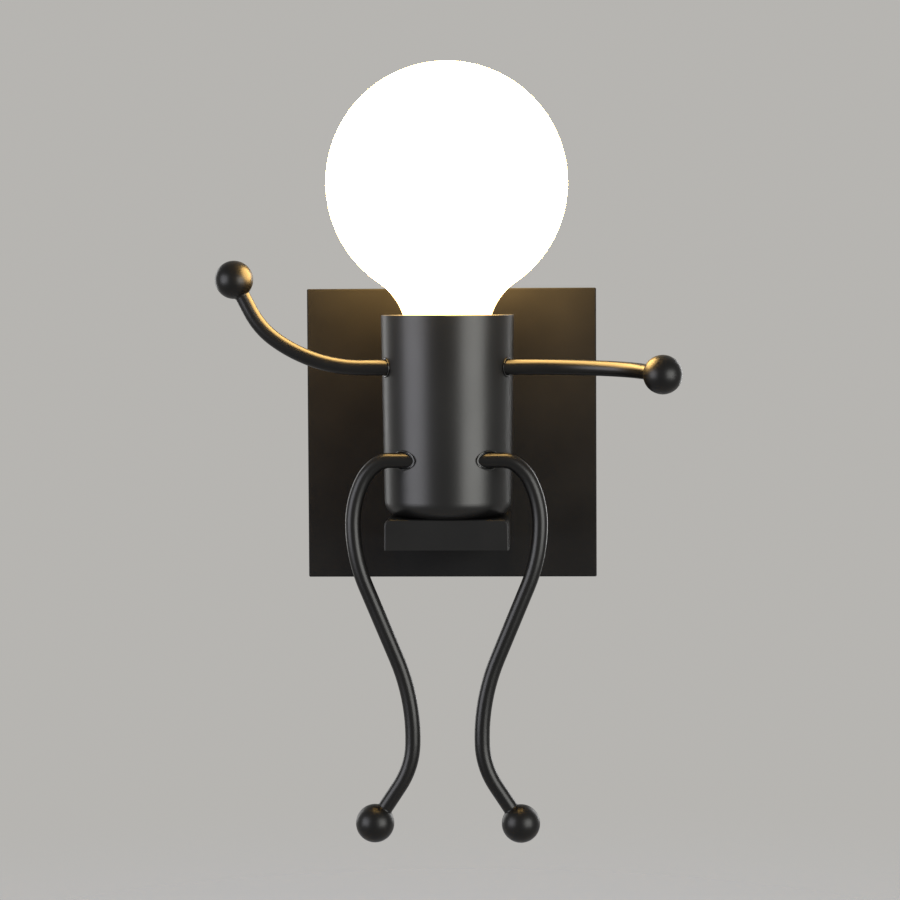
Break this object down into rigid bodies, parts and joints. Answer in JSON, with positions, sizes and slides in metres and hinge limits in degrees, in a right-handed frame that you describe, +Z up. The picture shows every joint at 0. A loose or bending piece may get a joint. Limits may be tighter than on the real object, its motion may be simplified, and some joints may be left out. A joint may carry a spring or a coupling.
{
  "type": "robot wall light",
  "caption": "Wall light shaped like a small robot: square canopy, black steel cup body with a globe bulb as its head, and bent rod arms and legs with ball hands and feet",
  "frame": {"origin": "centre of the canopy's open back, in the plane of the wall", "axes": "+Y points into the wall, -Y out to the viewer, +Z up, +X to the viewer's right"},
  "size_m": [0.1812, 0.112, 0.3054],
  "materials": {
    "black_paint": "satin black powder coat on steel",
    "zinc_steel": "bright zinc plate",
    "brass": "plain turned and pressed brass",
    "block_plastic": "moulded white polyamide",
    "rubber": "matt black moulded rubber",
    "holder_plastic": "glossy black moulded thermoset",
    "core_ceramic": "unglazed white steatite",
    "opal_glass": "smooth white opal glass, lit",
    "stem_glass": "clear drawn glass",
    "bulb_cap_metal": "rolled nickel-bright aluminium",
    "bulb_insulation": "fused black vitrite",
    "solder": "domed soft solder",
    "phosphor": "yellow silicone phosphor coat",
    "lead_brown": "extruded brown insulation",
    "lead_blue": "extruded blue insulation",
    "lead_green_yellow": "extruded green and yellow insulation"
  },
  "bodies": {
    "light": {"block_screws": "zinc_steel", "canopy": "black_paint", "canopy_screws": "black_paint", "centre_contact": "brass", "cup": "black_paint", "earth_lead": "lead_green_yellow", "earth_ring": "brass", "earth_screw": "zinc_steel", "holder_cap": "holder_plastic", "holder_core": "core_ceramic", "holder_skirt": "holder_plastic", "holder_terminal_screws": "brass", "holder_terminals": "brass", "lead_grommet": "rubber", "left_hip_bush": "zinc_steel", "left_shoulder_bush": "zinc_steel", "limb_washers": "zinc_steel", "live_lead": "lead_brown", "lock_washer": "zinc_steel", "lower_nut": "zinc_steel", "lower_washer": "zinc_steel", "neutral_lead": "lead_blue", "nipple": "zinc_steel", "right_hip_bush": "zinc_steel", "right_shoulder_bush": "zinc_steel", "screw_shell": "brass", "seat_bracket": "black_paint", "seat_cover": "black_paint", "seat_cover_screws": "black_paint", "seat_nuts": "zinc_steel", "seat_screws": "zinc_steel", "terminal_block": "block_plastic", "terminal_clamps": "brass", "terminal_screws": "brass", "upper_nut": "zinc_steel", "wall_strap": "zinc_steel"},
    "bulb": {"bulb_glass": "opal_glass", "bulb_cap": "bulb_cap_metal", "bulb_insulator": "bulb_insulation", "bulb_contact": "solder", "bulb_stem": "stem_glass", "led_filaments": "phosphor", "filament_wires": "zinc_steel"},
    "left_arm": {"left_arm_rod": "black_paint", "left_hand": "black_paint", "left_arm_clip": "zinc_steel"},
    "right_arm": {"right_arm_rod": "black_paint", "right_hand": "black_paint", "right_arm_clip": "zinc_steel"},
    "left_leg": {"left_leg_rod": "black_paint", "left_foot": "black_paint", "left_leg_clip": "zinc_steel"},
    "right_leg": {"right_leg_rod": "black_paint", "right_foot": "black_paint", "right_leg_clip": "zinc_steel"}
  },
  "joints": [
    {"name": "left_arm_turn", "type": "hinge", "parent": "light", "child": "left_arm", "pos_m": [-0.0213, -0.07, 0.028], "axis": [-1, 0, 0], "continuous": true},
    {"name": "left_leg_swing", "type": "hinge", "parent": "light", "child": "left_leg", "pos_m": [-0.0095, -0.079, -0.0079], "axis": [-1, 0, 0], "range_deg": [-25, 100]},
    {"name": "right_arm_turn", "type": "hinge", "parent": "light", "child": "right_arm", "pos_m": [0.0213, -0.07, 0.028], "axis": [-1, 0, 0], "continuous": true},
    {"name": "right_leg_swing", "type": "hinge", "parent": "light", "child": "right_leg", "pos_m": [0.0095, -0.079, -0.0079], "axis": [-1, 0, 0], "range_deg": [-25, 100]},
    {"name": "bulb_lift", "type": "slide", "parent": "light", "child": "bulb", "axis": [0, 0, 1], "range_m": [0, 0.03]}
  ]
}
